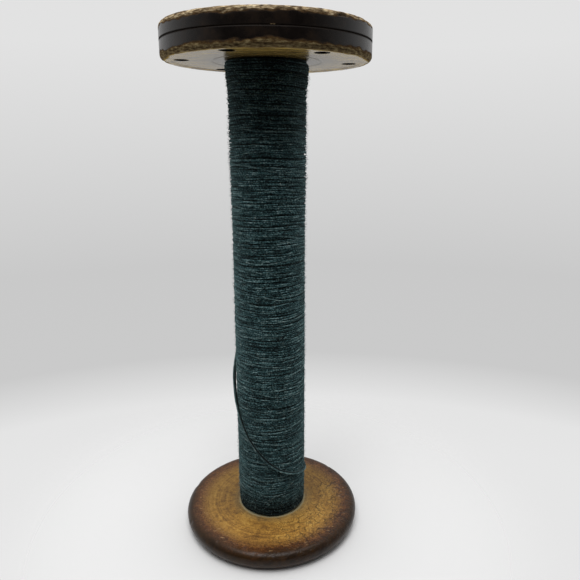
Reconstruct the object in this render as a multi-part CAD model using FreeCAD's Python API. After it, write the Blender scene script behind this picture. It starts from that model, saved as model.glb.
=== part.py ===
"""Textile mill bobbin wound with wool yarn, in millimetres.

The spool stands on its lower head. +Z is its axis, pointing up, and the origin is the centre
of the lower head's outer face. Angles are measured from +X towards +Y, and the front is -Y.
"""
import FreeCAD, Part
import math
import os

# Driving dimensions
OVERALL_HEIGHT = 307.5
LOWER_HEAD_RADIUS = 57.0
LOWER_HEAD_THICKNESS = 12.2
UPPER_HEAD_RADIUS = 57.6
INNER_PLY_THICKNESS = 9.4
OUTER_PLY_THICKNESS = 8.6
BARREL_RADIUS = 19.0
TENON_RADIUS = 15.9
SPINDLE_RADIUS = 8.0
YARN_DIAMETER = 1.0

# Rims of the heads
BULLNOSE_TOP_ROUND = 4.6
BULLNOSE_FOOT_ROUND = 7.4
WORN_EDGE_ROUND = 2.2
SEAM_CHAMFER = 0.35

# Inner face of the upper head: a raised rim round a slightly hollow face with one scored ring
FACE_HOLLOW = 0.5
RIM_LIP_WIDTH = 5.0
SCORED_RING_RADIUS = 30.0
SCORED_RING_WIDTH = 0.7
SCORED_RING_DEPTH = 0.35

# Spindle bushes, let into the ends of the barrel
BUSH_WALL = 1.6
BUSH_LENGTH = 22.0
BUSH_FLANGE_RADIUS = 13.5
BUSH_FLANGE_THICKNESS = 1.2
BORE_CLEARANCE = 1.0

# Sunk screws that hold the two plies of the upper head
SCREW_COUNT = 6
SCREW_CIRCLE_RADIUS = 46.4
FIRST_SCREW_ANGLE = 4.9
SCREW_POCKET_RADIUS = 3.6
SCREW_POCKET_DEPTH = 2.6
SCREW_HEAD_RADIUS = 3.3
SCREW_HEAD_HEIGHT = 1.8
SCREW_SHANK_RADIUS = 1.75
SCREW_LENGTH = 13.0
SCREW_POINT_LENGTH = 2.4
SCREW_POINT_RADIUS = 0.2
SCREW_SLOT_WIDTH = 0.8
SCREW_SLOT_DEPTH = 0.9

# Outside of the wound yarn, as (radius, height above the base)
WINDING_OUTLINE = [
    (21.4, 12.2),
    (21.7, 17.0),
    (21.7, 125.0),
    (21.6, 200.0),
    (22.1, 232.0),
    (22.1, 273.0),
    (22.8, 280.0),
    (23.5, 287.0),
    (23.3, 290.0),
]

# Slack stretch of two yarns side by side. Each point of its route is
# (angle in degrees, distance from the spool's axis, height above the base).
STRAND_DIAMETER = 2 * YARN_DIAMETER
STRAND_ROUTE = [
    (-197, 21.3, 120.5),
    (-191, 22.2, 115.0),
    (-184, 22.9, 108.5),
    (-177, 23.2, 101.5),
    (-169, 23.2, 94.5),
    (-160, 23.2, 87.0),
    (-148, 23.2, 79.0),
    (-134, 23.3, 70.5),
    (-118, 23.4, 62.0),
    (-101, 23.4, 54.5),
    (-83, 23.4, 48.0),
    (-64, 23.4, 43.8),
    (-44, 23.4, 40.8),
    (-24, 23.3, 38.8),
    (-5, 22.7, 37.6),
    (11, 21.4, 36.8),
]
ARC_SHARE_OF_RUN = 0.45

# Heights that follow from the driving dimensions
SEAM_HEIGHT = OVERALL_HEIGHT - OUTER_PLY_THICKNESS
UPPER_RIM_HEIGHT = SEAM_HEIGHT - INNER_PLY_THICKNESS
UPPER_FACE_HEIGHT = UPPER_RIM_HEIGHT + FACE_HOLLOW

AXIS = FreeCAD.Vector(0, 0, 1)
CENTRE = FreeCAD.Vector(0, 0, 0)


def around_axis(angle, radius, height):
    """Point at an angle in degrees round the spool's axis."""
    turn = math.radians(angle)
    return FreeCAD.Vector(radius * math.cos(turn), radius * math.sin(turn), height)


def tangent_arc(before, corner, after, arc_radius):
    """First, middle and last point of the arc that rounds a corner between two straight runs."""
    back = (before - corner).normalize()
    ahead = (after - corner).normalize()
    half_angle = back.getAngle(ahead) / 2
    setback = arc_radius / math.tan(half_angle)
    to_middle = arc_radius / math.sin(half_angle) - arc_radius
    return [
        corner + back * setback,
        corner + (back + ahead).normalize() * to_middle,
        corner + ahead * setback,
    ]


def wire_of(stretches):
    """One wire of straight runs between the stretches: single points, or three points of an arc."""
    edges = []
    here = None
    for stretch in stretches:
        if here is not None and here.distanceToPoint(stretch[0]) > 1e-6:
            edges.append(Part.LineSegment(here, stretch[0]).toShape())
        if len(stretch) == 3:
            edges.append(Part.Arc(*stretch).toShape())
        here = stretch[-1]
    return Part.Wire(edges)


def turned(corners):
    """Solid turned about the spool's axis.

    Each corner of the half section is (radius, height), or (radius, height, rounding).
    """
    points = [FreeCAD.Vector(corner[0], 0, corner[1]) for corner in corners]
    stretches = []
    for index, corner in enumerate(corners):
        if len(corner) == 3:
            before = points[index - 1]
            after = points[(index + 1) % len(points)]
            stretches.append(tangent_arc(before, points[index], after, corner[2]))
        else:
            stretches.append([points[index]])
    stretches.append([stretches[0][0]])
    return Part.Face(wire_of(stretches)).revolve(CENTRE, AXIS, 360)


def disc(radius, bottom, top):
    """Plain cylinder on the spool's axis."""
    return Part.makeCylinder(radius, top - bottom, FreeCAD.Vector(0, 0, bottom))


def bush(outer_face_height, inward):
    """Flanged steel bush; inward is +1 when the barrel lies above its outer face, -1 below."""
    sleeve_radius = SPINDLE_RADIUS + BUSH_WALL
    under_flange = outer_face_height + inward * BUSH_FLANGE_THICKNESS
    inner_end = outer_face_height + inward * BUSH_LENGTH
    return turned([
        (SPINDLE_RADIUS, outer_face_height),
        (BUSH_FLANGE_RADIUS, outer_face_height),
        (BUSH_FLANGE_RADIUS, under_flange),
        (sleeve_radius, under_flange),
        (sleeve_radius, inner_end),
        (SPINDLE_RADIUS, inner_end),
    ])


def barrel():
    """Hardwood tube with a tenon at each end, bored for the spindle and recessed for the bushes."""
    body = disc(BARREL_RADIUS, LOWER_HEAD_THICKNESS, UPPER_FACE_HEIGHT)
    tenons = disc(TENON_RADIUS, 0, OVERALL_HEIGHT)
    wood = body.fuse(tenons).cut(disc(SPINDLE_RADIUS + BORE_CLEARANCE, 0, OVERALL_HEIGHT))
    sleeve_radius = SPINDLE_RADIUS + BUSH_WALL
    wood = wood.cut(disc(sleeve_radius, 0, BUSH_LENGTH))
    wood = wood.cut(disc(sleeve_radius, OVERALL_HEIGHT - BUSH_LENGTH, OVERALL_HEIGHT))
    wood = wood.cut(disc(BUSH_FLANGE_RADIUS, 0, BUSH_FLANGE_THICKNESS))
    flange_seat = OVERALL_HEIGHT - BUSH_FLANGE_THICKNESS
    return wood.cut(disc(BUSH_FLANGE_RADIUS, flange_seat, OVERALL_HEIGHT)).removeSplitter()


def lower_head():
    """Solid head with a bullnose rim."""
    return turned([
        (TENON_RADIUS, 0),
        (LOWER_HEAD_RADIUS, 0, BULLNOSE_FOOT_ROUND),
        (LOWER_HEAD_RADIUS, LOWER_HEAD_THICKNESS, BULLNOSE_TOP_ROUND),
        (TENON_RADIUS, LOWER_HEAD_THICKNESS),
    ])


def screw_blank(angle):
    """Outside of one ply screw: countersunk head, plain shank and point, driven upwards."""
    head_height = UPPER_FACE_HEIGHT + SCREW_POCKET_DEPTH
    place = around_axis(angle, SCREW_CIRCLE_RADIUS, head_height)
    neck = place + AXIS * SCREW_HEAD_HEIGHT
    shank_length = SCREW_LENGTH - SCREW_HEAD_HEIGHT - SCREW_POINT_LENGTH
    shoulder = neck + AXIS * shank_length
    head = Part.makeCone(SCREW_HEAD_RADIUS, SCREW_SHANK_RADIUS, SCREW_HEAD_HEIGHT, place)
    shank = Part.makeCylinder(SCREW_SHANK_RADIUS, shank_length, neck)
    point = Part.makeCone(SCREW_SHANK_RADIUS, SCREW_POINT_RADIUS, SCREW_POINT_LENGTH, shoulder)
    return head.fuse(shank).fuse(point).removeSplitter()


def screw_pocket(angle):
    """Round pocket in the inner ply that sinks a screw's head below the face."""
    mouth = around_axis(angle, SCREW_CIRCLE_RADIUS, UPPER_RIM_HEIGHT)
    depth = FACE_HOLLOW + SCREW_POCKET_DEPTH
    return Part.makeCylinder(SCREW_POCKET_RADIUS, depth, mouth)


def head_screw(angle):
    """Ply screw with its driver slot."""
    place = around_axis(angle, SCREW_CIRCLE_RADIUS, UPPER_FACE_HEIGHT + SCREW_POCKET_DEPTH)
    corner = FreeCAD.Vector(-SCREW_SLOT_WIDTH / 2, -SCREW_HEAD_RADIUS, 0)
    slot = Part.makeBox(SCREW_SLOT_WIDTH, 2 * SCREW_HEAD_RADIUS, SCREW_SLOT_DEPTH, corner)
    slot.rotate(CENTRE, AXIS, 2.3 * angle)
    slot.translate(place)
    return screw_blank(angle).cut(slot)


def upper_head_inner_ply(screw_angles):
    """Ply that faces the yarn: hollow face, raised rim, scored ring and six screw pockets."""
    ring_half = SCORED_RING_WIDTH / 2
    lip_inside = UPPER_HEAD_RADIUS - RIM_LIP_WIDTH
    ply = turned([
        (TENON_RADIUS, UPPER_FACE_HEIGHT),
        (SCORED_RING_RADIUS - ring_half, UPPER_FACE_HEIGHT),
        (SCORED_RING_RADIUS, UPPER_FACE_HEIGHT + SCORED_RING_DEPTH),
        (SCORED_RING_RADIUS + ring_half, UPPER_FACE_HEIGHT),
        (lip_inside - 2 * FACE_HOLLOW, UPPER_FACE_HEIGHT),
        (lip_inside, UPPER_RIM_HEIGHT),
        (UPPER_HEAD_RADIUS, UPPER_RIM_HEIGHT, WORN_EDGE_ROUND),
        (UPPER_HEAD_RADIUS, SEAM_HEIGHT - SEAM_CHAMFER),
        (UPPER_HEAD_RADIUS - SEAM_CHAMFER, SEAM_HEIGHT),
        (TENON_RADIUS, SEAM_HEIGHT),
    ])
    for angle in screw_angles:
        ply = ply.cut(screw_pocket(angle)).cut(screw_blank(angle))
    return ply


def upper_head_outer_ply(screw_angles):
    """Outer ply with a worn edge; the screws' points end inside it."""
    ply = turned([
        (TENON_RADIUS, SEAM_HEIGHT),
        (UPPER_HEAD_RADIUS - SEAM_CHAMFER, SEAM_HEIGHT),
        (UPPER_HEAD_RADIUS, SEAM_HEIGHT + SEAM_CHAMFER),
        (UPPER_HEAD_RADIUS, OVERALL_HEIGHT, WORN_EDGE_ROUND),
        (TENON_RADIUS, OVERALL_HEIGHT),
    ])
    for angle in screw_angles:
        ply = ply.cut(screw_blank(angle))
    return ply


def yarn_winding():
    """Wound yarn as one closed tube between the heads, on the barrel."""
    foot = (BARREL_RADIUS, LOWER_HEAD_THICKNESS)
    top = (BARREL_RADIUS, UPPER_FACE_HEIGHT)
    return turned([foot] + WINDING_OUTLINE + [top])


def loose_strand():
    """Slack doubled yarn that leaves the winding at the left and returns to it at the right."""
    route = [around_axis(*station) for station in STRAND_ROUTE]
    stretches = [[route[0]]]
    arc_radii = []
    for before, corner, after in zip(route, route[1:], route[2:]):
        half_turn = (corner - before).getAngle(after - corner) / 2
        shorter_run = min(before.distanceToPoint(corner), corner.distanceToPoint(after))
        arc_radius = ARC_SHARE_OF_RUN * shorter_run / math.tan(half_turn)
        arc_radii.append(arc_radius)
        stretches.append(tangent_arc(before, corner, after, arc_radius))
    stretches.append([route[-1]])
    path = wire_of(stretches)
    section = Part.Wire(Part.makeCircle(STRAND_DIAMETER / 2, route[0], route[1] - route[0]))
    tube = path.makePipeShell([section], True, True)
    expected = path.Length * math.pi * STRAND_DIAMETER ** 2 / 4
    print("strand arc radii:", [round(arc_radius, 1) for arc_radius in arc_radii])
    print("strand length:", round(path.Length, 1), "volume ratio:", round(tube.Volume / expected, 4))
    return tube


def write(node, shape):
    """One STEP file for each node."""
    shape.exportStep("parts/" + node + ".step")
    print(node, "valid" if shape.isValid() else "NOT VALID", round(shape.Volume, 1))


os.makedirs("parts", exist_ok=True)
screw_angles = [FIRST_SCREW_ANGLE + 360 / SCREW_COUNT * index for index in range(SCREW_COUNT)]

write("barrel", barrel())
write("lower_spindle_bush", bush(0, 1))
write("upper_spindle_bush", bush(OVERALL_HEIGHT, -1))
write("lower_head", lower_head())
write("upper_head_inner_ply", upper_head_inner_ply(screw_angles))
write("upper_head_outer_ply", upper_head_outer_ply(screw_angles))
for number, angle in enumerate(screw_angles, start=1):
    write("head_screw_" + str(number), head_screw(angle))
write("yarn_winding", yarn_winding())
write("loose_strand", loose_strand())
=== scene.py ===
import math

import bmesh
import bpy
import numpy as np
from mathutils import Matrix, Vector, noise


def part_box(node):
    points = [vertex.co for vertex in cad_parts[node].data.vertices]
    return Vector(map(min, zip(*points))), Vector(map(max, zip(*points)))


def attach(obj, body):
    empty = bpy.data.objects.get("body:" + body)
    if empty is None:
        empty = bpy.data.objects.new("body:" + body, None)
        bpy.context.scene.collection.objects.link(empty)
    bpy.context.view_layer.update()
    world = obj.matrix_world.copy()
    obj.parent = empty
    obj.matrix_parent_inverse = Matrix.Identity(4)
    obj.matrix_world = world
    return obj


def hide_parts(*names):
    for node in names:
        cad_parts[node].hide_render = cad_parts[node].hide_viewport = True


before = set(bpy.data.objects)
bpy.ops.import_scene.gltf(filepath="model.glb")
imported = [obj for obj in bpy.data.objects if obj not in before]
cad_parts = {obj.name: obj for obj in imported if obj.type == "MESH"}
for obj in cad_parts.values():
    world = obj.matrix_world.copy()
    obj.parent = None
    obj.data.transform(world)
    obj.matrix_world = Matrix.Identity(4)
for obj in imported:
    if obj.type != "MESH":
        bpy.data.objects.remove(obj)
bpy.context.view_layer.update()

MM = 0.001

# ---------------------------------------------------------------- camera
# The camera is level with the upper part of the winding and tilted down, and so close that the
# upper head looks much wider than the lower one.
camera_data = bpy.data.cameras.new("camera")
camera = bpy.data.objects.new("camera", camera_data)
bpy.context.collection.objects.link(camera)
bpy.context.scene.camera = camera
camera_data.lens = 34.37
camera_data.sensor_width = 36.0
camera_data.shift_x = -0.0172
camera_data.clip_start = 0.01
camera.location = (-4.9 * MM, -329.1 * MM, 250.5 * MM)
camera.rotation_euler = (math.radians(90 - 15.51), math.radians(-0.17), math.radians(-4.06))

# ---------------------------------------------------------------- loose strand
# Two singles of wool that came off the winding together and hang slack: they leave it behind
# the left side, cross the front and go back into it at the right. Soft woollen-spun yarn,
# dyed dark green-blue, with a fibrous surface that scatters light at its edges.
YARN = 1.0 * MM
STRAND_ROUTE = [
    (-197, 21.3 * MM, 120.5 * MM),
    (-191, 22.2 * MM, 115.0 * MM),
    (-184, 22.9 * MM, 108.5 * MM),
    (-177, 23.2 * MM, 101.5 * MM),
    (-169, 23.2 * MM, 94.5 * MM),
    (-160, 23.2 * MM, 87.0 * MM),
    (-148, 23.2 * MM, 79.0 * MM),
    (-134, 23.3 * MM, 70.5 * MM),
    (-118, 23.4 * MM, 62.0 * MM),
    (-101, 23.4 * MM, 54.5 * MM),
    (-83, 23.4 * MM, 48.0 * MM),
    (-64, 23.4 * MM, 43.8 * MM),
    (-44, 23.4 * MM, 40.8 * MM),
    (-24, 23.3 * MM, 38.8 * MM),
    (-5, 22.7 * MM, 37.6 * MM),
    (11, 21.4 * MM, 36.8 * MM),
]


def around_axis(angle, radius, height):
    """Point at an angle in degrees round the spool's axis."""
    turn = math.radians(angle)
    return Vector((radius * math.cos(turn), radius * math.sin(turn), height))


def colour(sheet_hex):
    """Linear RGBA of an sRGB hex colour."""
    parts = [int(sheet_hex[i:i + 2], 16) / 255 for i in (0, 2, 4)]
    return [p / 12.92 if p <= 0.04045 else ((p + 0.055) / 1.055) ** 2.4 for p in parts] + [1.0]


def add(tree, kind, *terms, give=None, stops=(), **choices):
    """Adds one node and returns one of its outputs. The terms fill the sockets it uses in order,
    as numbers, hex colours or links; the choices are its own settings, or sockets by name."""
    made = tree.nodes.new("ShaderNode" + kind)
    for name in [name for name in choices if name not in made.inputs]:
        setattr(made, name, choices.pop(name))
    filled = list(zip([socket for socket in made.inputs if socket.enabled], terms))
    filled += [(made.inputs[name], value) for name, value in choices.items()]
    for socket, value in filled:
        if isinstance(value, bpy.types.NodeSocket):
            tree.links.new(value, socket)
        else:
            socket.default_value = colour(value) if isinstance(value, str) else value
    for number, (place, tint) in enumerate(stops):
        stop = made.color_ramp.elements[number] if number < 2 else made.color_ramp.elements.new(1.0)
        stop.position = place
        stop.color = colour(tint)
    return made.outputs[give] if give else next(s for s in made.outputs if s.enabled)


def blank_material(name):
    """A new material with a Principled shader on its output."""
    material = bpy.data.materials.new(name)
    material.use_nodes = True
    tree = material.node_tree
    return material, tree, tree.nodes["Principled BSDF"]


def wool_material(name, shaded_flank, shades, fleck):
    """Wool singles. The crown and upper side of each yarn are painted paler than its flanks, as
    painted light and shade; the fibres make a fine broken texture, and the winding is darker
    towards its ends: painted shade under the upper head, and darker towards the foot."""
    material, tree, shader = blank_material(name)
    run, outer, upper = (add(tree, "Attribute", attribute_name=mark, give="Fac")
                         for mark in ("run", "outer", "upper"))
    place = add(tree, "TexCoord", give="Object")
    # lighter and darker lengths of 30 to 100 mm, streaks of 5 mm, and lumps of fibre of 0.7 mm
    lengths = add(tree, "TexNoise", run, 0.022, 3.0, noise_dimensions="1D")
    lumps = add(tree, "TexNoise", place, 1400.0, 2.0, 0.6)
    drawn_out = add(tree, "Math", run, 0.35, operation="MULTIPLY")
    round_yarn = add(tree, "CombineXYZ", drawn_out, outer, upper)
    streaks = add(tree, "TexNoise", round_yarn, 0.6, 3.0, 0.6)
    level = add(tree, "Math", lumps, 1.6, -1.21, operation="MULTIPLY_ADD")
    level = add(tree, "Math", lengths, 0.35, level, operation="MULTIPLY_ADD")
    level = add(tree, "Math", streaks, 1.4, level, operation="MULTIPLY_ADD")
    body = add(tree, "ValToRGB", level, stops=zip((0.28, 0.48, 0.64, 0.82), shades))
    # painted light and shade: the crown and upper side of each yarn are paler, its flanks darker
    lit_crown = add(tree, "Math", upper, 0.35, outer, operation="MULTIPLY_ADD")
    lit_crown = add(tree, "MapRange", lit_crown, -0.3, 0.95)
    body = add(tree, "Mix", lit_crown, shaded_flank, body, data_type="RGBA")
    # pale specks of undyed fibre, about 0.6 mm across
    specks = add(tree, "MapRange", add(tree, "TexNoise", place, 700.0, 1.0), 0.76, 0.82)
    body = add(tree, "Mix", specks, body, fleck, data_type="RGBA")
    height = add(tree, "SeparateXYZ", place, give="Z")
    # darker towards the ends of the winding: painted shade under the upper head at the top, and darker
    # towards the foot
    foot = add(tree, "MapRange", add(tree, "Math", lumps, 6 * MM, height, operation="MULTIPLY_ADD"),
               19 * MM, 38 * MM, 0.9, 0.0)
    low = add(tree, "MapRange", height, 30 * MM, 130 * MM, 0.22, 0.0)
    top = add(tree, "MapRange", height, 235 * MM, 286 * MM, 0.0, 0.6)
    top_shade_and_dark_foot = add(tree, "Math", add(tree, "Math", foot, top, operation="MAXIMUM"), low, operation="MAXIMUM")
    tree.links.new(add(tree, "Mix", top_shade_and_dark_foot, body, "0b0f10", data_type="RGBA"), shader.inputs["Base Color"])
    # twist: one turn of the singles in about 1.8 mm
    angle = add(tree, "Math", run, math.tau / 1.8, operation="MULTIPLY")
    swell_out = add(tree, "Math", add(tree, "Math", angle, operation="SINE"), outer, operation="MULTIPLY")
    swell_up = add(tree, "Math", add(tree, "Math", angle, operation="COSINE"), upper, operation="MULTIPLY")
    twist = add(tree, "Math", swell_out, swell_up, operation="ADD")
    bumps = add(tree, "Math", twist, 0.25, lumps, operation="MULTIPLY_ADD")
    bump = add(tree, "Bump", Height=bumps, Distance=0.40 * MM)
    tree.links.new(bump, shader.inputs["Normal"])
    shader.inputs["Roughness"].default_value = 0.95
    shader.inputs["Specular IOR Level"].default_value = 0.15
    # loose fibres scatter light, less where the winding is darkened at its ends; 0.9 is for where that
    # can't vary
    shader.inputs["Sheen Weight"].default_value = 0.9
    tree.links.new(add(tree, "MapRange", top_shade_and_dark_foot, 0.0, 1.0, 1.0, 0.0), shader.inputs["Sheen Weight"])
    shader.inputs["Sheen Roughness"].default_value = 0.35
    shader.inputs["Sheen Tint"].default_value = colour("93b3b6")
    return material


wool = wool_material("dyed woollen yarn", "101a1c", ("152124", "305053", "577d80", "98b2b3"),
                     "b4c0ba")
# a lit copy of the same yarn, painted paler as painted light, for the strand and the crossing turns
painted_lit_wool = wool_material("dyed woollen yarn, painted lit copy", "1b292b",
                          ("2b4144", "4b6769", "6f8b8b", "98acab"), "b4c0ba")
# a shaded copy of the same yarn, painted dark as painted shade, for the strand, the under layer and the
# core
painted_shade_wool = wool_material("dyed woollen yarn, painted shade copy", "090d0e",
                          ("0b1011", "18211f", "212d2d", "2c3a3a"), "46524f")


def mark_yarn(mesh, sections, sides, step_length):
    """Marks a yarn's points with its run in millimetres and the way that they face."""
    turn = np.tile(np.arange(sides) / sides * math.tau, sections)
    run = np.repeat(np.arange(sections) * step_length / MM, sides)
    for name, values in (("run", run), ("outer", -np.sin(turn)), ("upper", np.cos(turn))):
        mark = mesh.attributes.new(name, "FLOAT", "POINT")
        mark.data.foreach_set("value", values.astype(np.float32))


def smooth(piece):
    """Smooth shading all over."""
    piece.data.polygons.foreach_set("use_smooth", [True] * len(piece.data.polygons))


def yarn_mesh(name, centres, outward, radius, sides):
    """Closed tube of round section along a line, marked for its material."""
    ahead = np.gradient(centres, axis=0)
    ahead /= np.linalg.norm(ahead, axis=1)[:, None]
    across = np.cross(outward, ahead)
    across /= np.linalg.norm(across, axis=1)[:, None]
    up = np.cross(ahead, across)
    turn = np.arange(sides) * 2 * np.pi / sides
    ring = radius[:, None, None] * (np.cos(turn)[None, :, None] * across[:, None]
                                    - np.sin(turn)[None, :, None] * up[:, None])
    points = (centres[:, None] + ring).reshape(-1, 3)
    faces = []
    for section in range(len(centres) - 1):
        for number in range(sides):
            here = section * sides + number
            beside = section * sides + (number + 1) % sides
            faces.append((here, beside, beside + sides, here + sides))
    last = (len(centres) - 1) * sides
    faces.append(tuple(reversed(range(sides))))
    faces.append(tuple(range(last, last + sides)))
    mesh = bpy.data.meshes.new(name)
    mesh.from_pydata(points.tolist(), [], faces)
    mark_yarn(mesh, len(centres), sides, np.linalg.norm(centres[1] - centres[0]))
    return mesh


route_data = bpy.data.curves.new("strand_route", "CURVE")
route_data.dimensions = "3D"
route_data.resolution_u = 16
route = route_data.splines.new("NURBS")
route.points.add(len(STRAND_ROUTE) - 1)
for point, station in zip(route.points, STRAND_ROUTE):
    point.co = (*around_axis(*station), 1.0)
route.order_u = 3
route.use_endpoint_u = True
route_line = bpy.data.objects.new("strand_route", route_data)
bpy.context.collection.objects.link(route_line)
bpy.context.view_layer.update()
line_mesh = bpy.data.meshes.new_from_object(route_line)
line = np.array([tuple(vertex.co) for vertex in line_mesh.vertices])
bpy.data.objects.remove(route_line)
bpy.data.meshes.remove(line_mesh)

# The two yarns lie side by side, flat along the winding, and one rides up now and then. The
# upper one is painted dark, as painted shade, and the other one paler, as painted light.
STRAND_FINISH = (painted_shade_wool, painted_lit_wool)
outward = line * (1, 1, 0)
outward /= np.linalg.norm(outward, axis=1)[:, None]
ahead = np.gradient(line, axis=0)
ahead /= np.linalg.norm(ahead, axis=1)[:, None]
beside = np.cross(ahead, outward)
steps_along = np.linalg.norm(np.diff(line, axis=0), axis=1)
along = np.concatenate([[0], np.cumsum(steps_along)])
roll = 0.3 * np.sin(along / (13 * MM)) + np.interp(along, (20 * MM, 60 * MM), (0.8, 0.1))
spread = np.cos(roll)[:, None] * beside + np.sin(roll)[:, None] * outward
thickness = 0.5 * YARN * (1.22 + 0.08 * np.sin(along / (2.3 * MM)))
apart = 0.5 * YARN * (0.95 + 0.12 * np.sin(along / (9 * MM)))
strand_parts = [yarn_mesh("strand_part", line + (sign * apart)[:, None] * spread, outward,
                          thickness, 10) for sign in (-1, 1)]
strand = bpy.data.objects.new("loose_strand_yarns", strand_parts[0])
partner = bpy.data.objects.new("partner", strand_parts[1])
for yarn, finish in ((strand, STRAND_FINISH[0]), (partner, STRAND_FINISH[1])):
    yarn.data.materials.append(finish)
    bpy.context.collection.objects.link(yarn)
bpy.ops.object.select_all(action="DESELECT")
strand.select_set(True)
partner.select_set(True)
bpy.context.view_layer.objects.active = strand
bpy.ops.object.join()
smooth(strand)
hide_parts("loose_strand")
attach(strand, "root")

# ---------------------------------------------------------------- yarn winding
# Wool wound straight from head to head in level turns, layer on layer. The last layers are a
# little uneven: turns wander, bunch up and leave gaps, and a few slip across the others.
winding_low, winding_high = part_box("yarn_winding")
barrel_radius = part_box("barrel")[1].x
shell = np.array([tuple(vertex.co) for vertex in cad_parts["yarn_winding"].data.vertices])
shell_radius = np.hypot(shell[:, 0], shell[:, 1])
outside = shell_radius > barrel_radius + 1 * MM
heights, first_at_height = np.unique(shell[outside, 2].round(5), return_index=True)
radii = shell_radius[outside][first_at_height]


def winding_radius(height):
    """Outside radius of the wound yarn at a height."""
    return np.interp(height, heights, radii)


def radius_of(point):
    """Distance of a point from the spool's axis."""
    return math.hypot(point.x, point.y)


def pick(piece, faces=None, edges=None):
    """In edit mode, selects only the faces or the edges that pass a test."""
    mesh = bmesh.from_edit_mesh(piece.data)
    bpy.ops.mesh.select_all(action="DESELECT")
    for part in (mesh.faces if faces else mesh.edges):
        if (faces or edges)(part):
            part.select_set(True)
    bmesh.update_edit_mesh(piece.data)


def turned_ring(name, radius, hole, bottom, top, around):
    """Flat ring on the spool's axis, made from a cylinder and left in edit mode for shaping."""
    bpy.ops.object.select_all(action="DESELECT")
    bpy.ops.mesh.primitive_cylinder_add(vertices=around, radius=radius, depth=top - bottom,
                                        location=(0, 0, (top + bottom) / 2))
    piece = bpy.context.object
    piece.name = name
    bpy.ops.object.transform_apply(location=True)
    bpy.ops.object.mode_set(mode="EDIT")
    bpy.ops.mesh.select_mode(type="FACE")
    pick(piece, faces=lambda face: abs(face.normal.z) > 0.9)
    bpy.ops.mesh.inset(thickness=radius - hole, use_individual=True)
    bpy.ops.mesh.delete(type="FACE")
    bpy.ops.mesh.select_mode(type="EDGE")
    pick(piece, edges=lambda edge: edge.is_boundary)
    bpy.ops.mesh.bridge_edge_loops()
    return piece


def cut_rings(piece, along_axis, cuts, shortest):
    """Adds rings across the walls, or across the flat faces, so that they can be shaped."""
    def crossed(edge):
        one, other = (v.co for v in edge.verts)
        rise = abs(one.z - other.z)
        reach = abs(radius_of(one) - radius_of(other))
        length, rest = (rise, reach) if along_axis else (reach, rise)
        return length > shortest and rest < 0.01 * MM
    pick(piece, edges=crossed)
    bpy.ops.mesh.subdivide(number_cuts=cuts)


def close_up(piece):
    """Points a closed mesh's faces outwards, and leaves edit mode."""
    if bpy.context.mode != "EDIT_MESH":
        bpy.ops.object.select_all(action="DESELECT")
        piece.select_set(True)
        bpy.context.view_layer.objects.active = piece
        bpy.ops.object.mode_set(mode="EDIT")
    bpy.ops.mesh.select_all(action="SELECT")
    bpy.ops.mesh.normals_make_consistent(inside=False)
    bpy.ops.object.mode_set(mode="OBJECT")


def put_on(piece, node, slot, *materials):
    """Finishes a piece and lets it stand for a part of the spool."""
    close_up(piece)
    smooth(piece)
    for material in materials:
        piece.data.materials.append(material)
    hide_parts(node)
    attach(piece, "root")


core = turned_ring("winding_core", barrel_radius + 1 * MM, barrel_radius, winding_low.z,
                   winding_high.z, 128)
cut_rings(core, along_axis=True, cuts=150, shortest=200 * MM)
bpy.ops.object.mode_set(mode="OBJECT")
for vertex in core.data.vertices:
    if radius_of(vertex.co) > barrel_radius + 0.5 * MM:
        grown = (winding_radius(vertex.co.z) - 1.3 * MM) / radius_of(vertex.co)
        vertex.co = (vertex.co.x * grown, vertex.co.y * grown, vertex.co.z)
# the core is the painted shade copy of the yarn, dark in the gaps between turns
put_on(core, "yarn_winding", "wool_yarn", painted_shade_wool)


def waves(turns, *terms):
    """Sum of waves (size, cycles in a turn, start) along a yarn counted in turns."""
    return sum(size * np.sin(math.tau * (cycles * turns + start)) for size, cycles, start in terms)


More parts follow.
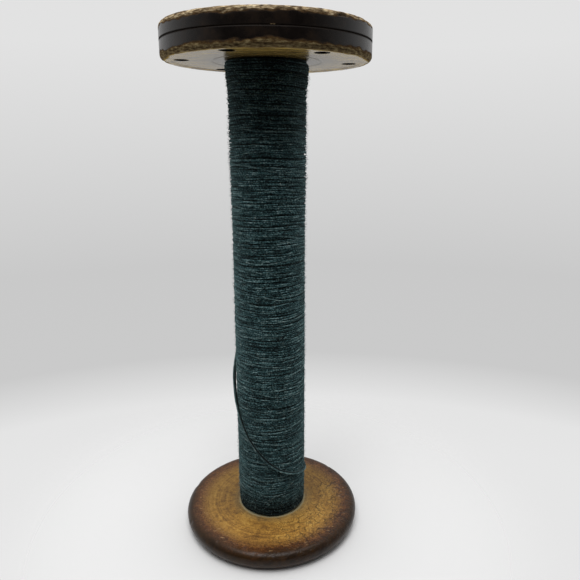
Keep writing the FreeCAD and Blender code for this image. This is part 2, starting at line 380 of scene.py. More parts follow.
def wound_yarn(name, pitch, steps, sides, sink, wander, lift, radius, material, reverse=False):
    """Level turns of yarn from head to head, modelled as a screw of a circle and then moved."""
    foot = winding_low.z + 0.6 * YARN
    turns = int((winding_high.z - winding_low.z - 1.2 * YARN) / pitch)
    bpy.ops.object.select_all(action="DESELECT")
    bpy.ops.mesh.primitive_circle_add(vertices=sides, radius=radius,
                                      location=(barrel_radius, 0, foot),
                                      rotation=(math.pi / 2, 0, 0))
    piece = bpy.context.object
    piece.name = name
    bpy.ops.object.transform_apply(location=True, rotation=True)
    screw = piece.modifiers.new("turns", "SCREW")
    screw.axis = "Z"
    screw.angle = -math.tau if reverse else math.tau
    screw.screw_offset = pitch
    screw.iterations = turns
    screw.steps = steps
    screw.render_steps = steps
    screw.use_merge_vertices = False
    bpy.ops.object.modifier_apply(modifier="turns")
    bpy.ops.object.mode_set(mode="EDIT")
    bpy.ops.mesh.select_all(action="DESELECT")
    bpy.ops.mesh.select_non_manifold()
    bpy.ops.mesh.edge_face_add()
    bpy.ops.object.mode_set(mode="OBJECT")
    mesh = piece.data
    points = np.empty(len(mesh.vertices) * 3, np.float32)
    mesh.vertices.foreach_get("co", points)
    points = points.reshape(-1, sides, 3).astype(float)
    sections = len(points)
    turn = np.arange(sections) / steps
    middle_height = points[:, :, 2].mean(1)
    height = np.clip(middle_height + waves(turn, *wander), foot, winding_high.z - 0.6 * YARN)
    distance = np.hypot(points[:, :, 0], points[:, :, 1])
    heading = np.arctan2(points[:, :, 1], points[:, :, 0])
    slub = 1 + waves(turn, (0.08, 7.31, 0.2), (0.07, 17.7, 0.6), (0.05, 3.13, 0.4))[:, None]
    middle = (winding_radius(height) - sink + waves(turn, *lift))[:, None]
    new_distance = middle + (distance - barrel_radius) * slub
    new_height = height[:, None] + (points[:, :, 2] - middle_height[:, None]) * slub
    moved = np.stack([new_distance * np.cos(heading), new_distance * np.sin(heading),
                      new_height], axis=2)
    mesh.vertices.foreach_set("co", moved.reshape(-1).astype(np.float32))
    mark_yarn(mesh, sections, sides, math.tau * barrel_radius / steps)
    mesh.update()
    put_on(piece, "yarn_winding", "wool_yarn", material)


LEVEL_WANDER = [(0.60 * MM, 1.003, 0.1), (0.35 * MM, 2.005, 0.7), (0.18 * MM, 3.01, 0.3),
                (0.10 * MM, 5.02, 0.8), (0.18 * MM, 0.213, 0.2), (0.16 * MM, 0.471, 0.9),
                (0.15 * MM, 0.83, 0.5), (0.13 * MM, 1.37, 0.4), (0.10 * MM, 2.71, 0.6),
                (0.08 * MM, 4.43, 0.1), (0.06 * MM, 9.7, 0.3)]
LEVEL_LIFT = [(0.11 * MM, 0.391, 0.3), (0.09 * MM, 1.73, 0.8), (0.07 * MM, 3.37, 0.1),
              (0.06 * MM, 6.61, 0.5)]
CROSSING_WANDER = [(2.2 * MM, 0.613, 0.3), (1.3 * MM, 1.21, 0.6), (0.7 * MM, 2.47, 0.1),
                   (0.35 * MM, 4.9, 0.7)]
# the under layer is the painted shade copy of the yarn, dark as painted shade between the outer turns
wound_yarn("winding_under_layer", 1.25 * MM, 44, 5, 0.95 * MM, LEVEL_WANDER[:7], LEVEL_LIFT[:2],
           0.55 * MM, painted_shade_wool)
wound_yarn("winding_outer_layer", 1.18 * MM, 78, 5, 0.46 * MM, LEVEL_WANDER, LEVEL_LIFT,
           0.50 * MM, wool)
# the crossing turns are the painted lit copy of the yarn, paler as painted light
wound_yarn("winding_crossing_turns", 7.3 * MM, 90, 6, 0.28 * MM, CROSSING_WANDER, LEVEL_LIFT,
           0.38 * MM, painted_lit_wool, reverse=True)

# Stray fibres stand off the yarn all round. Real ones are 0.03 mm thick, too fine to show, so
# they are drawn at 0.14 mm. One fibre is modelled, then copied to a ring, and the ring along.
FIBRES_IN_RING = 60
RINGS = 230
draw = np.random.default_rng(7)


def joined_copies(name, original, moves):
    """Copies of a piece, each with its own mesh moved by a matrix, joined to one piece."""
    bpy.ops.object.select_all(action="DESELECT")
    for move in moves:
        copy = original.copy()
        copy.data = original.data.copy()
        copy.data.transform(move)
        bpy.context.collection.objects.link(copy)
        copy.select_set(True)
    bpy.context.view_layer.objects.active = copy
    bpy.ops.object.join()
    bpy.data.objects.remove(original)
    copy.name = name
    return copy


bpy.ops.object.select_all(action="DESELECT")
bpy.ops.mesh.primitive_circle_add(vertices=3, radius=0.07 * MM, fill_type="NGON")
fibre = bpy.context.object
bpy.ops.object.mode_set(mode="EDIT")
for step in range(2):
    bpy.ops.mesh.extrude_region_move(
        TRANSFORM_OT_translate={"value": (0.25 * MM * step, 0, 0.55 * MM)})
    bpy.ops.transform.resize(value=(0.65, 0.65, 0.65))
bpy.ops.object.mode_set(mode="OBJECT")
stand_off = [Matrix.Rotation(draw.uniform(0, math.tau), 4, "Z")
             @ Matrix.Translation((barrel_radius - 0.2 * MM, 0, draw.uniform(-4, 4) * MM))
             @ Matrix.Rotation(draw.normal(0, 0.9), 4, "X")
             @ Matrix.Rotation(math.pi / 2 + draw.normal(0, 0.7), 4, "Y")
             @ Matrix.Rotation(draw.uniform(0, math.tau), 4, "Z")
             @ Matrix.Scale(draw.uniform(0.6, 1.4), 4) for number in range(FIBRES_IN_RING)]
fibre_ring = joined_copies("fibre_ring", fibre, stand_off)
along_barrel = []
for number in range(RINGS):
    height = winding_low.z + 5 * MM + (winding_high.z - winding_low.z - 10 * MM) * number / RINGS
    grown = winding_radius(height) / barrel_radius
    along_barrel.append(Matrix.Translation((0, 0, height))
                        @ Matrix.Rotation(draw.uniform(0, math.tau), 4, "Z")
                        @ Matrix.Diagonal((grown, grown, 1, 1)))
fuzz = joined_copies("winding_fuzz", fibre_ring, along_barrel)


def fibre_material():
    """Single wool fibres. They are a little paler than the yarn, as they hold no shade."""
    material, tree, shader = blank_material("loose wool fibres")
    place = add(tree, "TexCoord", give="Object")
    clumps = add(tree, "TexNoise", place, 300.0)
    shades = add(tree, "ValToRGB", clumps, stops=((0.35, "3a5052"), (0.5, "5c7674"), (0.65, "93a7a3")))
    tree.links.new(shades, shader.inputs["Base Color"])
    shader.inputs["Roughness"].default_value = 0.9
    shader.inputs["Specular IOR Level"].default_value = 0.2
    return material


put_on(fuzz, "yarn_winding", "wool_yarn", fibre_material())

# ---------------------------------------------------------------- lower head
# The solid head that the spool stands on: a turned hardwood disc with a bullnose rim. Old
# varnish has gone amber on its face, and dark brown, thick and satin, on the rim.
lower_low, lower_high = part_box("lower_head")
LOWER_RADIUS = lower_high.x
TENON = 15.9 * MM


def round_edge(piece, radius, height, rounding, segments):
    """Rounds the circular edge at a radius and a height."""
    def on_edge(edge):
        return all(abs(radius_of(v.co) - radius) < 0.01 * MM and abs(v.co.z - height) < 0.01 * MM
                   for v in edge.verts)
    pick(piece, edges=on_edge)
    bpy.ops.mesh.bevel(offset=rounding, segments=segments, profile=0.5, affect="EDGES")


def clamp(value):
    """Value held between 0 and 1."""
    return max(0.0, min(1.0, value))


def lumps_at(place, across, high=None, start=0.0):
    """Noise from -1 to 1 with lumps of a width and a height."""
    high = high or across
    return noise.noise(Vector((place.x / across + start, place.y / across, place.z / high)))


def axis_distance(tree, place):
    """Distance from the spool's axis of the point that is being shaded."""
    axes = add(tree, "SeparateXYZ", place).node.outputs
    flat = add(tree, "CombineXYZ", axes["X"], axes["Y"])
    return add(tree, "VectorMath", flat, operation="LENGTH")


def crazing(tree, place, cells, width, bend):
    """Fine cracks from 0 to 1 round cells of a size, bent into curls."""
    warp = add(tree, "TexNoise", place, 0.8 / cells, give="Color")
    swing = add(tree, "VectorMath", warp, bend, operation="SCALE")
    bent = add(tree, "VectorMath", place, swing)
    edge = add(tree, "TexVoronoi", bent, 1.0 / cells, feature="DISTANCE_TO_EDGE")
    return add(tree, "MapRange", edge, 0.0, width / cells, 1.0, 0.0)


def lower_head_varnish():
    """Amber varnish over turned beech. It is dusty round the yarn, goes brown and then nearly
    black towards the rim, is crazed at the right, and has pale scratches and knocks."""
    material, tree, shader = blank_material("aged amber varnish on beech")
    place = add(tree, "TexCoord", give="Object")
    axes = add(tree, "SeparateXYZ", place).node.outputs
    radius = axis_distance(tree, place)
    blotch = add(tree, "TexNoise", place, 45.0, 3.0, 0.55)
    mottle = add(tree, "TexNoise", place, 240.0, 4.0, 0.65)
    fine = add(tree, "TexNoise", place, 1100.0, 3.0, 0.65)
    turning = add(tree, "TexNoise", radius, 700.0, 3.0, noise_dimensions="1D")
    both = add(tree, "Math", blotch, mottle, operation="ADD")
    tone = add(tree, "Math", fine, 0.35, add(tree, "Math", both, 0.4, operation="MULTIPLY"),
               operation="MULTIPLY_ADD")
    tone = add(tree, "Math", turning, 0.18, add(tree, "Math", tone, 0.04, operation="SUBTRACT"),
               operation="MULTIPLY_ADD")
    amber = add(tree, "ValToRGB", tone,
                stops=((0.46, "523917"), (0.56, "7d592a"), (0.64, "a27734"), (0.74, "be9449")))
    # darker away from the front: painted shade, away from the front light
    amber = add(tree, "Mix", add(tree, "MapRange", axes["Y"], -40 * MM, 5 * MM, 0.0, 0.50), amber,
                "4a3a1e", data_type="RGBA")
    dusty = add(tree, "ValToRGB", tone, stops=((0.46, "5a4a2c"), (0.72, "8b7b55")))
    near_yarn = add(tree, "MapRange", add(tree, "Math", mottle, 6 * MM, radius, operation="MULTIPLY_ADD"),
                    24.0 * MM, 31.0 * MM, 0.65, 0.0)
    face = add(tree, "Mix", near_yarn, amber, dusty, data_type="RGBA")
    # a pale line of lint and dust where the yarn meets the wood
    dust = add(tree, "MapRange", add(tree, "Math", mottle, 2.4 * MM, radius, operation="MULTIPLY_ADD"),
               22.8 * MM, 23.8 * MM, 0.6, 0.0)
    face = add(tree, "Mix", dust, face, "9c9a80", data_type="RGBA")
    # the face that it stands on is scuffed back to stained wood
    scuffed = add(tree, "ValToRGB", tone, stops=((0.46, "38291a"), (0.6, "5a4730"), (0.74, "7b6647")))
    face = add(tree, "Mix", add(tree, "MapRange", axes["Z"], 2.0 * MM, 0.6 * MM), face, scuffed,
               data_type="RGBA")
    ragged = add(tree, "Math", both, 10 * MM, radius, operation="MULTIPLY_ADD")
    brown = add(tree, "ValToRGB", fine, stops=((0.36, "3a210e"), (0.5, "54331a"), (0.66, "70492a")))
    face = add(tree, "Mix", add(tree, "MapRange", ragged, 51.5 * MM, 60 * MM), face, brown,
               data_type="RGBA")
    dark = add(tree, "ValToRGB", mottle, stops=((0.35, "190f06"), (0.65, "33210d")))
    face = add(tree, "Mix", add(tree, "MapRange", ragged, 59 * MM, 65.5 * MM), face, dark,
               data_type="RGBA")
    # pale scratches on the brown band, 1 to 3 mm long
    hatch = add(tree, "Mapping", place, Rotation=(0.0, 0.0, 0.6), Scale=(300.0, 1100.0, 600.0))
    scratch = add(tree, "MapRange", add(tree, "TexNoise", hatch, 1.0, 1.0), 0.67, 0.75, 0.0, 0.7)
    outer_band = add(tree, "Math", add(tree, "MapRange", radius, 40 * MM, 46 * MM),
                     add(tree, "MapRange", radius, 54 * MM, 52 * MM), operation="MULTIPLY")
    outer_band = add(tree, "Math", outer_band, add(tree, "MapRange", blotch, 0.40, 0.58),
                     operation="MULTIPLY")
    face = add(tree, "Mix", add(tree, "Math", scratch, outer_band, operation="MULTIPLY"), face, "ad8c62",
               data_type="RGBA")
    # crazing of about 6 mm at the right and in front, and a few curled cracks
    right = add(tree, "MapRange", add(tree, "Math", axes["Y"], -0.45, axes["X"], operation="MULTIPLY_ADD"),
                -4 * MM, 24 * MM)
    patchy = add(tree, "Math", right, add(tree, "MapRange", blotch, 0.38, 0.50), operation="MULTIPLY")
    crack = add(tree, "Math", crazing(tree, place, 6.5 * MM, 0.45 * MM, 13 * MM),
                crazing(tree, place, 3.4 * MM, 0.24 * MM, 7 * MM), operation="MAXIMUM")
    crack = add(tree, "Math", crack, patchy, operation="MULTIPLY")
    crack = add(tree, "Math", crack, add(tree, "MapRange", axes["Z"], 4 * MM, 8 * MM),
                operation="MULTIPLY")
    on_face = add(tree, "Math", add(tree, "MapRange", radius, 25 * MM, 28 * MM),
                  add(tree, "MapRange", mottle, 0.42, 0.50), operation="MULTIPLY")
    crack = add(tree, "Math", crack, on_face, operation="MULTIPLY")
    face = add(tree, "Mix", add(tree, "Math", crack, 0.85, operation="MULTIPLY"), face, "24140a",
               data_type="RGBA")
    tree.links.new(face, shader.inputs["Base Color"])
    shader.inputs["Specular IOR Level"].default_value = 0.2
    # satin on the rim, and duller on the face, where hands and air have worked on it
    satin = add(tree, "Math", ragged, add(tree, "Math", fine, 6 * MM, operation="MULTIPLY"),
                operation="ADD")
    satin = add(tree, "MapRange", satin, 54 * MM, 63 * MM, 0.55, 0.33)
    tree.links.new(satin, shader.inputs["Roughness"])
    height = add(tree, "Math", fine, 0.35, add(tree, "Math", turning, 0.5, operation="MULTIPLY"),
                 operation="MULTIPLY_ADD")
    height = add(tree, "Math", height, crack, operation="SUBTRACT")
    bump = add(tree, "Bump", Height=height, Distance=0.15 * MM, Strength=0.6)
    tree.links.new(bump, shader.inputs["Normal"])
    return material


lower = turned_ring("lower_head_turned", LOWER_RADIUS, TENON, lower_low.z, lower_high.z, 384)
round_edge(lower, LOWER_RADIUS, lower_high.z, 4.6 * MM, 12)
round_edge(lower, LOWER_RADIUS, lower_low.z, 7.4 * MM, 14)
cut_rings(lower, along_axis=False, cuts=48, shortest=20 * MM)
bpy.ops.object.mode_set(mode="OBJECT")
for vertex in lower.data.vertices:
    place = vertex.co.copy()
    distance = radius_of(place)
    knock = max(0.0, lumps_at(place, 5 * MM) - 0.35) * clamp((distance - 48 * MM) / (4 * MM))
    tool_marks = math.sin(distance / (0.55 * MM)) * clamp((distance - 24 * MM) / (4 * MM))
    if place.z > 0.5 * lower_high.z:
        vertex.co.z -= knock * 0.9 * MM + (0.03 + 0.03 * tool_marks) * MM
    outward = Vector((place.x, place.y, 0)).normalized()
    vertex.co -= outward * knock * 0.6 * MM
put_on(lower, "lower_head", "lower_head_wood", lower_head_varnish())

# ---------------------------------------------------------------- upper head
# Two plies of hardwood glued and screwed together, with the seam showing as a dark line round
# the rim. Thick dark lacquer on the rims is worn through to fibrous wood along both outer
# edges, and the face towards the yarn is only varnished, with a scored ring and six pockets.
inner_low, inner_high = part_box("upper_head_inner_ply")
outer_low, outer_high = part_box("upper_head_outer_ply")
HEAD_RADIUS = outer_high.x
SCORED_RING = 30.0 * MM
POCKET_RADIUS = 4.1 * MM
screw_boxes = [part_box("head_screw_" + str(number)) for number in range(1, 7)]


def ply(name, bottom, top, edge_height, seam_height):
    """Blank of one ply, with a worn rounding at its outer edge and a chamfer at the seam."""
    piece = turned_ring(name, HEAD_RADIUS, TENON, bottom, top, 512)
    round_edge(piece, HEAD_RADIUS, edge_height, 2.2 * MM, 8)
    round_edge(piece, HEAD_RADIUS, seam_height, 0.28 * MM, 1)
    cut_rings(piece, along_axis=True, cuts=12, shortest=5 * MM)
    cut_rings(piece, along_axis=False, cuts=64, shortest=20 * MM)
    bpy.ops.object.mode_set(mode="OBJECT")
    return piece


def wear_edge(piece, edge_height, seam_height, inward, reach, heaviest, start, dirt_and_shade_share, chip=999, slits=()):
    """Wears an outer edge away unevenly, most at one angle, and marks how bare each point is and
    how dark with dirt and painted shade. The seam is dark but for a fresh chip at an angle. Slits
    are splits at an (angle, height), of a length, painted dark inside as shade. The share of dirt
    and painted shade says how much of them the bare wood holds; the painted shade is on the front."""
    bare, dirt_and_shade = [], []
    for vertex in piece.data.vertices:
        place = vertex.co.copy()
        distance = radius_of(place)
        angle = math.degrees(math.atan2(place.y, place.x))
        away = math.hypot(abs(place.z - edge_height), HEAD_RADIUS - distance)
        swell = 0.82 + 0.18 * math.cos(math.radians(angle - heaviest))
        ragged = 0.88 + 0.30 * lumps_at(place, 13 * MM, 9 * MM, start)
        ragged += 0.30 * lumps_at(place, 4.5 * MM, 2 * MM, start)
        worn = clamp(1.5 - away / (reach * swell * max(ragged, 0.25)))
        fibrous = lumps_at(place, 3.2 * MM, 0.8 * MM, start) + 0.6 * lumps_at(place, 1.4 * MM, 0.6 * MM)
        depth = worn * (0.16 + 0.16 * fibrous + 0.25 * max(0.0, lumps_at(place, 7 * MM, 3 * MM)))
        # painted shade: bare wood on the side facing the dim front is darker
        front_shade = clamp(math.cos(math.radians(angle + 70)))
        dirt_and_shade_level = dirt_and_shade_share * worn * clamp(-1.0 * fibrous - 0.34 + 0.52 * front_shade)
        if distance > HEAD_RADIUS - 1 * MM and abs(place.z - seam_height) < 0.3 * MM:
            sideways = abs(math.radians(angle - chip)) * HEAD_RADIUS
            worn = clamp((1.6 * MM - sideways) / (0.6 * MM))
            dirt_and_shade_level = (1.0 - worn) * (1.0 if abs(place.z - seam_height) < 0.1 * MM else 0.8)
        # painted shade: the slits are darkened inside
        for slit_angle, slit_height, slit_length in slits:
            sideways = abs(math.radians(angle - slit_angle)) * HEAD_RADIUS
            in_slit = clamp((0.5 * slit_length - sideways) / (0.8 * MM))
            in_slit *= clamp((0.8 * MM - abs(place.z - slit_height)) / (0.4 * MM))
            in_slit *= clamp((distance - HEAD_RADIUS + 4 * MM) / (1 * MM))
            depth += 1.1 * in_slit
            dirt_and_shade_level = max(dirt_and_shade_level, in_slit)
        outward = Vector((place.x, place.y, 0)).normalized()
        vertex.co = place - (outward - inward) * max(depth, 0.0) * 0.7 * MM
        bare.append(worn)
        dirt_and_shade.append(dirt_and_shade_level)
    for name, values in (("bare", bare), ("dirt_and_shade", dirt_and_shade)):
        mark = piece.data.attributes.new(name, "FLOAT", "POINT")
        mark.data.foreach_set("value", values)
    piece.data.update()


def head_lacquer(name, varnish_top, wood_shades):
    """Dark lacquer, bare fibrous wood where it is worn, and thin glossy varnish on the face
    towards the yarn, through which the wood's figure shows."""
    material, tree, shader = blank_material(name)
    place = add(tree, "TexCoord", give="Object")
    bare = add(tree, "Attribute", attribute_name="bare", give="Fac")
    dirt_and_shade = add(tree, "Attribute", attribute_name="dirt_and_shade", give="Fac")
    clouds = add(tree, "TexNoise", place, 110.0, 5.0, 0.65)
    fine = add(tree, "TexNoise", place, 1000.0, 3.0, 0.65)
    streaked = add(tree, "Mapping", place, Scale=(330.0, 330.0, 1300.0))
    streaks = add(tree, "TexNoise", streaked, 1.0, 4.0, 0.7)
    radius = axis_distance(tree, place)
    height = add(tree, "SeparateXYZ", place, give="Z")
    turning = add(tree, "TexNoise", radius, 900.0, 4.0, noise_dimensions="1D")
    lacquer = add(tree, "ValToRGB", clouds, stops=((0.32, "0b0705"), (0.52, "140e0a"), (0.72, "241910")))
    # the outer face has dust in its turning marks, fine scratches, and a rubbed ring at the bore
    outer_face = add(tree, "MapRange", height, outer_high.z - 0.6 * MM, outer_high.z - 0.2 * MM)
    hatch = add(tree, "Mapping", place, Rotation=(0.0, 0.0, 0.9), Scale=(60.0, 1500.0, 60.0))
    scratch = add(tree, "MapRange", add(tree, "TexNoise", hatch, 1.0, 2.0), 0.66, 0.72, 0.0, 0.35)
    dust = add(tree, "Math", add(tree, "MapRange", turning, 0.45, 0.75, 0.0, 0.2), scratch,
               operation="MAXIMUM")
    lacquer = add(tree, "Mix", add(tree, "Math", dust, outer_face, operation="MULTIPLY"), lacquer,
                  "5d5345", data_type="RGBA")
    rubbed_ring = add(tree, "Math", clouds, 9 * MM, radius, operation="MULTIPLY_ADD")
    rubbed_ring = add(tree, "MapRange", rubbed_ring, 19.5 * MM, 23 * MM, 0.85, 0.0)
    lacquer = add(tree, "Mix", add(tree, "Math", rubbed_ring, outer_face, operation="MULTIPLY"), lacquer,
                  "58422a", data_type="RGBA")
    wood = add(tree, "ValToRGB", streaks, stops=zip((0.34, 0.46, 0.56, 0.66, 0.76), wood_shades))
    edge = add(tree, "Math", bare, add(tree, "Math", streaks, 0.9, 0.55, operation="MULTIPLY_ADD"),
               operation="MULTIPLY")
    through = add(tree, "MapRange", edge, 0.50, 0.85)
    stained = add(tree, "MapRange", edge, 0.28, 0.55)
    rubbed = add(tree, "ValToRGB", fine, stops=((0.35, "3a2917"), (0.65, "594123")))
    worn = add(tree, "Mix", through, add(tree, "Mix", stained, lacquer, rubbed, data_type="RGBA"), wood,
               data_type="RGBA")
    # dark with dirt, the dark seam, and painted shade in the slit and on the front of the worn edge
    worn = add(tree, "Mix", dirt_and_shade, worn, "17100a", data_type="RGBA")
    face = add(tree, "MapRange", height, varnish_top, varnish_top - 0.3 * MM)
    figure = add(tree, "Mapping", place, Scale=(45.0, 200.0, 45.0))
    swirl = add(tree, "TexNoise", figure, 1.0, 3.0, Distortion=1.6)
    varnish = add(tree, "ValToRGB", swirl, stops=((0.38, "7e6636"), (0.52, "a98e4c"), (0.66, "c4a75c")))
    # painted shade close to the yarn, for its shadow and its dark reflection in the varnish
    varnish = add(tree, "Mix", add(tree, "MapRange", radius, 24 * MM, 54 * MM, 0.85, 0.0), varnish,
                  "2e2415", data_type="RGBA")
    off_ring = add(tree, "Math", add(tree, "Math", radius, SCORED_RING, operation="SUBTRACT"),
                   operation="ABSOLUTE")
    varnish = add(tree, "Mix", add(tree, "MapRange", off_ring, 0.2 * MM, 0.5 * MM, 0.7, 0.0), varnish,
                  "231a0f", data_type="RGBA")
    face = add(tree, "Math", face, add(tree, "MapRange", through, 0.0, 1.0, 1.0, 0.0),
               operation="MULTIPLY")
    tree.links.new(add(tree, "Mix", face, worn, varnish, data_type="RGBA"), shader.inputs["Base Color"])
    satin = add(tree, "MapRange", clouds, 0.35, 0.7, 0.22, 0.32)
    glossy = add(tree, "Mix", face, satin, 0.24)
    glossy = add(tree, "Math", glossy, add(tree, "Math", outer_face, 0.5, operation="MULTIPLY"),
                 operation="MAXIMUM")
    dull = add(tree, "Math", stained, dirt_and_shade, operation="MAXIMUM")
    tree.links.new(add(tree, "Mix", dull, glossy, 0.92), shader.inputs["Roughness"])
    # varnish gleams most, and bare wood and the dirt and painted shade marks hardly; 0.3 is for where that
    # can't vary
    gleam = add(tree, "Mix", face, 0.30, 0.42)
    shader.inputs["Specular IOR Level"].default_value = 0.3
    tree.links.new(add(tree, "Mix", dull, gleam, 0.05), shader.inputs["Specular IOR Level"])
    fibres = add(tree, "Math", streaks, add(tree, "Math", fine, 0.5, operation="MULTIPLY"),
                 operation="ADD")
    strength = add(tree, "Mix", stained, add(tree, "Mix", face, 0.06, 0.01), 0.9)
    bump = add(tree, "Bump", Height=fibres, Distance=0.3 * MM, Strength=strength)
    tree.links.new(bump, shader.inputs["Normal"])
    return material


def dark_pocket_material():
    """Stained wood inside the screw pockets, black with old oil."""
    material, tree, shader = blank_material("oil-stained end grain")
    place = add(tree, "TexCoord", give="Object")
    soot = add(tree, "TexNoise", place, 800.0)
    soot = add(tree, "ValToRGB", soot, stops=((0.35, "050302"), (0.7, "0f0a06")))
    tree.links.new(soot, shader.inputs["Base Color"])
    shader.inputs["Roughness"].default_value = 1.0
    shader.inputs["Specular IOR Level"].default_value = 0.0
    return material


inner = ply("upper_inner_ply", inner_low.z, inner_high.z, inner_low.z, inner_high.z)
for vertex in inner.data.vertices:
    distance = radius_of(vertex.co)
    if vertex.co.z < inner_low.z + 0.01 * MM:
        hollow = clamp((HEAD_RADIUS - 5.0 * MM - distance) / (1.0 * MM))
        scored = clamp(1 - abs(distance - SCORED_RING) / (0.6 * MM))
        vertex.co.z += (0.5 * hollow + 0.4 * scored) * MM
wear_edge(inner, inner_low.z, inner_high.z, Vector((0, 0, 1)), 3.5 * MM, -115, 4.0, 0.55)
inner.data.materials.append(head_lacquer("lacquer and varnish on maple", inner_low.z + 1.0 * MM,
                                         ("352a1a", "5f4e35", "80704f", "9b8a66", "b8a883")))
inner.data.materials.append(dark_pocket_material())
for low, high in screw_boxes:
    bpy.ops.object.select_all(action="DESELECT")
    bpy.ops.mesh.primitive_cylinder_add(vertices=40, radius=POCKET_RADIUS, depth=8 * MM,
                                        location=((low.x + high.x) / 2, (low.y + high.y) / 2,
                                                  inner_low.z - 0.9 * MM))
    drill = bpy.context.object
    drill.data.materials.append(inner.data.materials[0])
    drill.data.materials.append(inner.data.materials[1])
    drill.data.polygons.foreach_set("material_index", [1] * len(drill.data.polygons))
    pocket = inner.modifiers.new("pocket", "BOOLEAN")
    pocket.object = drill
    pocket.material_mode = "TRANSFER"
    bpy.context.view_layer.objects.active = inner
    bpy.ops.object.modifier_apply(modifier="pocket")
    bpy.data.objects.remove(drill)
put_on(inner, "upper_head_inner_ply", "upper_head_wood")

outer = ply("upper_outer_ply", outer_low.z, outer_high.z, outer_high.z, outer_low.z)
wear_edge(outer, outer_high.z, outer_low.z, Vector((0, 0, -1)), 3.4 * MM, -150, 0.0, 1.0,
          chip=-88, slits=[(-52, outer_high.z - 1.5 * MM, 8 * MM)])
put_on(outer, "upper_head_outer_ply", "upper_head_wood",
       head_lacquer("black-brown lacquer on maple", outer_low.z - 50 * MM,
                    ("3a2d1f", "77634a", "a59272", "cebe9c", "e2d6bb")))

# ---------------------------------------------------------------- barrel, bushes and screws
# The barrel is a turned hardwood tube, and only its two tenons show, as end grain in the heads.
# The bushes are pressed steel, dull with use, and the screws are blackened steel.


def end_grain_material():
    """End grain of beech: growth rings and pores, darkened by handling."""
    material, tree, shader = blank_material("beech end grain")
    place = add(tree, "TexCoord", give="Object")
    centred = add(tree, "Mapping", place, Location=(0.030, 0.012, 0.0))
    rings = add(tree, "TexWave", centred, 280.0, 3.0, wave_type="RINGS", rings_direction="Z",
                give="Fac")
    pores = add(tree, "TexNoise", place, 1600.0, 3.0, 0.6)
    level = add(tree, "Math", pores, 1.2, add(tree, "Math", rings, 0.22, operation="MULTIPLY"),
                operation="MULTIPLY_ADD")
    wood = add(tree, "ValToRGB", level, stops=((0.45, "2f2113"), (0.68, "584126"), (0.95, "7a6040")))
    tree.links.new(wood, shader.inputs["Base Color"])
    bump = add(tree, "Bump", Height=pores, Distance=0.1 * MM, Strength=0.4)
    tree.links.new(bump, shader.inputs["Normal"])
    shader.inputs["Roughness"].default_value = 0.7
    return material


def steel_material(name, dark, light, roughness):
    """Bare or blackened steel, rubbed in rings by the spindle and a little stained."""
    material, tree, shader = blank_material(name)
    place = add(tree, "TexCoord", give="Object")
    rubbed = add(tree, "TexNoise", axis_distance(tree, place), 2200.0, 3.0, noise_dimensions="1D")
    stains = add(tree, "TexNoise", place, 260.0, 3.0, 0.6)
    level = add(tree, "Math", stains, 0.6, add(tree, "Math", rubbed, 0.4, operation="MULTIPLY"),
                operation="MULTIPLY_ADD")
    metal = add(tree, "ValToRGB", level, stops=((0.40, dark), (0.56, light)))
    tree.links.new(metal, shader.inputs["Base Color"])
    shader.inputs["Metallic"].default_value = 1.0
    shader.inputs["Roughness"].default_value = roughness
    bump = add(tree, "Bump", Height=rubbed, Distance=0.03 * MM, Strength=0.4)
    tree.links.new(bump, shader.inputs["Normal"])
    return material


def refinish(node, material):
    """Gives a part of the frame a finished material."""
    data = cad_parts[node].data
    data.materials.clear()
    data.materials.append(material)


refinish("barrel", end_grain_material())
bush_steel = steel_material("worn pressed steel", "5f5a53", "98948d", 0.42)
screw_steel = steel_material("blackened steel", "120f0d", "2e2823", 0.55)
for node in ("lower_spindle_bush", "upper_spindle_bush"):
    refinish(node, bush_steel)
for number in range(1, 7):
    refinish("head_screw_" + str(number), screw_steel)

# ---------------------------------------------------------------- studio
# A small light tent: a pale floor that fades into a pale surround, and two large soft lights,
# above and high in front. The surround is bright behind and at the sides, and dim in front.
bpy.context.scene.view_settings.view_transform = "Standard"


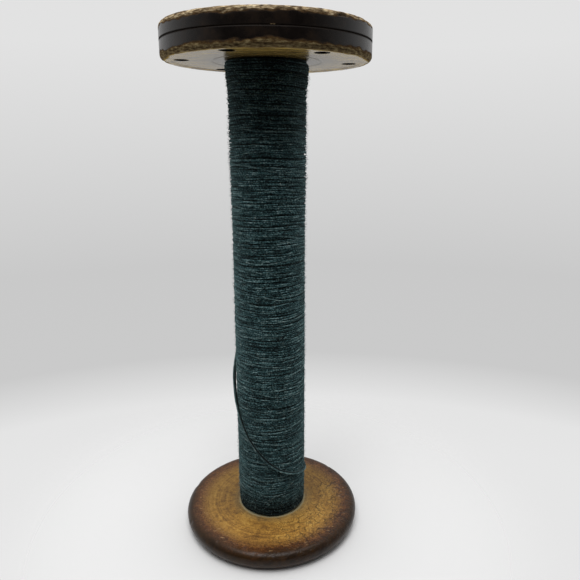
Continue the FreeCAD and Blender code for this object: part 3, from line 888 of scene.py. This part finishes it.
def panel(name, place, size, aim, power):
    """Soft rectangular light, out of the camera's sight."""
    data = bpy.data.lights.new(name, "AREA")
    data.shape = "RECTANGLE"
    data.size, data.size_y = size
    data.energy = power
    light = bpy.data.objects.new(name, data)
    bpy.context.collection.objects.link(light)
    light.location = place
    light.rotation_euler = (Vector(aim) - Vector(place)).to_track_quat("-Z", "Y").to_euler()
    light.visible_camera = False


panel("top_light", (0.0, 0.0, 1.1), (0.7, 0.7), (0, 0, 0.1), 6.0)
panel("front_light", (-0.1, -0.42, 1.0), (0.7, 0.5), (0, 0, 0.1), 5.0)

bpy.ops.object.select_all(action="DESELECT")
bpy.ops.mesh.primitive_circle_add(vertices=96, radius=0.9, fill_type="NGON", location=(0, 0, 0))
floor = bpy.context.object
floor.name = "floor"


def floor_material():
    """Pale paper that fades out a little past the spool."""
    material, tree, shader = blank_material("pale paper floor")
    shader.inputs["Base Color"].default_value = colour("dedede")
    shader.inputs["Roughness"].default_value = 0.9
    place = add(tree, "TexCoord", give="Object")
    distance = add(tree, "VectorMath", place, operation="LENGTH")
    fade = add(tree, "MapRange", distance, 0.08, 0.20, interpolation_type="SMOOTHSTEP")
    both = add(tree, "MixShader", fade, shader.outputs["BSDF"], add(tree, "BsdfTransparent"))
    tree.links.new(both, tree.nodes["Material Output"].inputs["Surface"])
    return material


floor.data.materials.append(floor_material())

world = bpy.data.worlds.new("light tent")
bpy.context.scene.world = world
world.use_nodes = True
sky = world.node_tree
direction = add(sky, "TexCoord", give="Generated")
heading = add(sky, "SeparateXYZ", direction).node.outputs
level = add(sky, "MapRange", heading["Z"], -0.5, 0.3)
tone = add(sky, "ValToRGB", level,
           stops=((0.0, "e6e6e6"), (0.07, "e4e4e4"), (0.16, "cacaca"), (0.35, "c9c9c9"), (0.8, "e2e2e2")))
backdrop = add(sky, "Background", tone, 1.0)
tent_strength = add(sky, "MapRange", heading["Y"], -0.70, 0.15, 0.08, 0.97)
tent = add(sky, "Background", tone, tent_strength)
surround = add(sky, "MixShader", add(sky, "LightPath", give="Is Camera Ray"), tent, backdrop)
sky.links.new(surround, sky.nodes["World Output"].inputs["Surface"])
